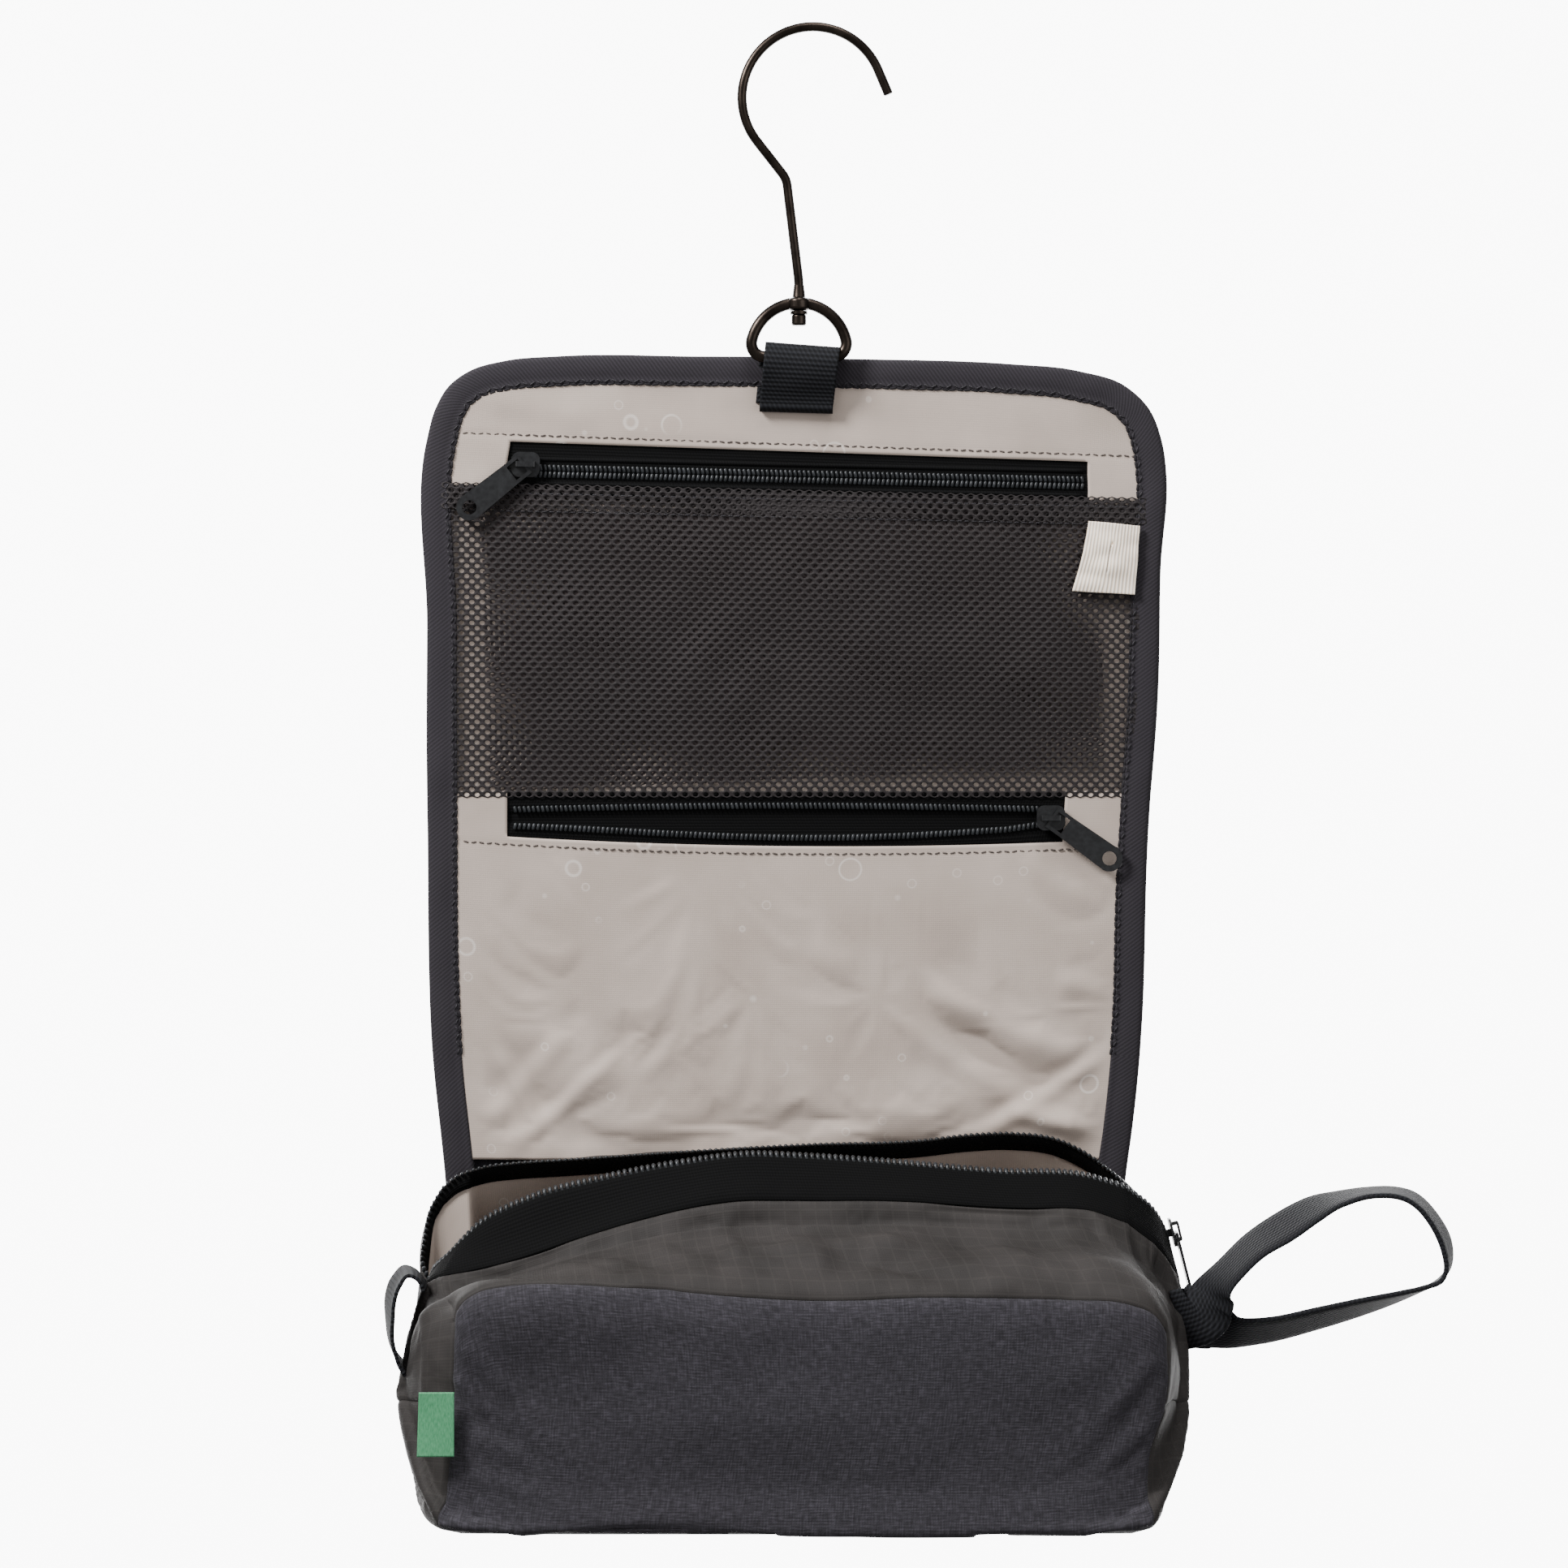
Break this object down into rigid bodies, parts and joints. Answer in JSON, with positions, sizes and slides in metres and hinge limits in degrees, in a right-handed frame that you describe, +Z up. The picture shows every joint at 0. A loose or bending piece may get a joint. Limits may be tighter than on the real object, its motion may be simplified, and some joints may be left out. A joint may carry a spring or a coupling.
{
  "type": "hanging toiletry bag",
  "caption": "Fold-out hanging toiletry bag with swivel wire hook, two zip pockets on the flap, a zipped wash pouch and a wrist strap",
  "frame": {"origin": "the point of the hook that rests on a rail: the inside top of its round bend", "axes": "+Z up, +X to the right seen from the front, the open front of the bag faces -Y"},
  "size_m": [0.3528, 0.0864, 0.4952],
  "materials": {
    "gunmetal": "smoked dark nickel plating on steel wire, satin",
    "binding_tape": "charcoal twill bias tape",
    "shell_melange": "charcoal melange polyester",
    "gusset_ripstop": "warm grey ripstop polyester, slight sheen",
    "lining_taffeta": "taupe polyester taffeta",
    "pocket_mesh": "black polyester knitted mesh",
    "black_webbing": "black woven webbing",
    "zip_tape": "black woven zip tape",
    "zip_coil": "black nylon coil",
    "zip_metal": "black lacquered zinc casting",
    "foam": "thin white polyester padding",
    "cream_grosgrain": "cream grosgrain ribbon",
    "label_green": "green satin label, plain"
  },
  "bodies": {
    "hook": {"hook_wire": "gunmetal", "swivel_washer": "gunmetal", "swivel_button": "gunmetal"},
    "ring": {"d_ring": "gunmetal"},
    "flap_upper": {"hanger_webbing": "black_webbing", "binding_upper": "binding_tape", "flap_outer_upper": "shell_melange", "flap_foam_upper": "foam", "pocket_backing": "lining_taffeta", "lining_top_band": "lining_taffeta", "upper_zip_tapes": "zip_tape", "upper_zip_coils": "zip_coil", "upper_zip_end_strips": "lining_taffeta", "mesh_pocket": "pocket_mesh", "mesh_divider": "pocket_mesh", "cream_tab": "cream_grosgrain", "lower_zip_tapes": "zip_tape", "lower_zip_coils": "zip_coil", "lower_zip_end_strips": "lining_taffeta", "lining_fold_strip": "lining_taffeta"},
    "flap_lower": {"binding_lower": "binding_tape", "flap_outer_lower": "shell_melange", "flap_foam_lower": "foam", "lining_lower": "lining_taffeta"},
    "pouch": {"front_panel": "shell_melange", "top_gusset": "gusset_ripstop", "rear_top_strip": "gusset_ripstop", "side_gusset_left_upper": "gusset_ripstop", "side_gusset_left_lower": "gusset_ripstop", "side_gusset_right_upper": "gusset_ripstop", "side_gusset_right_lower": "gusset_ripstop", "base_panel": "shell_melange", "back_panel": "shell_melange", "pouch_lining": "lining_taffeta", "main_zip_tape_front": "zip_tape", "main_zip_tape_rear": "zip_tape", "main_zip_coil_front": "zip_coil", "main_zip_coil_rear": "zip_coil", "side_loop_left": "black_webbing", "side_label": "label_green"},
    "wrist_strap": {"wrist_strap": "black_webbing"},
    "upper_slider": {"upper_zip_slider": "zip_metal"},
    "upper_pull": {"upper_zip_pull": "zip_metal"},
    "lower_slider": {"lower_zip_slider": "zip_metal"},
    "lower_pull": {"lower_zip_pull": "zip_metal"},
    "main_slider": {"main_zip_slider": "zip_metal"},
    "main_pull": {"main_zip_pull": "zip_metal"}
  },
  "joints": [
    {"name": "hook_swivel", "type": "hinge", "parent": "hook", "child": "ring", "pos_m": [-0.0047, 0, -0.0916], "axis": [0, 0, 1], "continuous": true},
    {"name": "ring_pivot", "type": "hinge", "parent": "ring", "child": "flap_upper", "pos_m": [-0.0047, 0, -0.1092], "axis": [1, 0, 0], "range_deg": [-85, 85]},
    {"name": "flap_fold", "type": "hinge", "parent": "flap_upper", "child": "flap_lower", "pos_m": [-0.0047, 0.0035, -0.293], "axis": [1, 0, 0], "range_deg": [-85, 0]},
    {"name": "pouch_fold", "type": "hinge", "parent": "flap_lower", "child": "pouch", "pos_m": [-0.0047, 0.0035, -0.3721], "axis": [1, 0, 0], "range_deg": [-85, 0]},
    {"name": "strap_swing", "type": "hinge", "parent": "pouch", "child": "wrist_strap", "pos_m": [0.124, -0.038, -0.426], "axis": [0, 0, -1], "range_deg": [-25, 60]},
    {"name": "upper_zip_run", "type": "slide", "parent": "flap_upper", "child": "upper_slider", "axis": [0.9996, 0, -0.0297], "range_m": [0, 0.18]},
    {"name": "upper_pull_lift", "type": "hinge", "parent": "upper_slider", "child": "upper_pull", "pos_m": [-0.09716, 0.0013, -0.14517], "axis": [-0.6225, 0, 0.7826], "range_deg": [0, 95]},
    {"name": "lower_zip_run", "type": "slide", "parent": "flap_upper", "child": "lower_slider", "axis": [1, 0, 0], "range_m": [-0.175, 0]},
    {"name": "lower_pull_lift", "type": "hinge", "parent": "lower_slider", "child": "lower_pull", "pos_m": [0.0807, 0.0013, -0.264], "axis": [-0.5835, 0, -0.8121], "range_deg": [0, 95]},
    {"name": "main_zip_run", "type": "slide", "parent": "pouch", "child": "main_slider", "axis": [-0.2425, 0, 0.9701], "range_m": [0, 0.02]},
    {"name": "main_pull_lift", "type": "hinge", "parent": "main_slider", "child": "main_pull", "pos_m": [0.12019, -0.02, -0.40136], "axis": [0, -1, 0], "range_deg": [0, 95]}
  ]
}
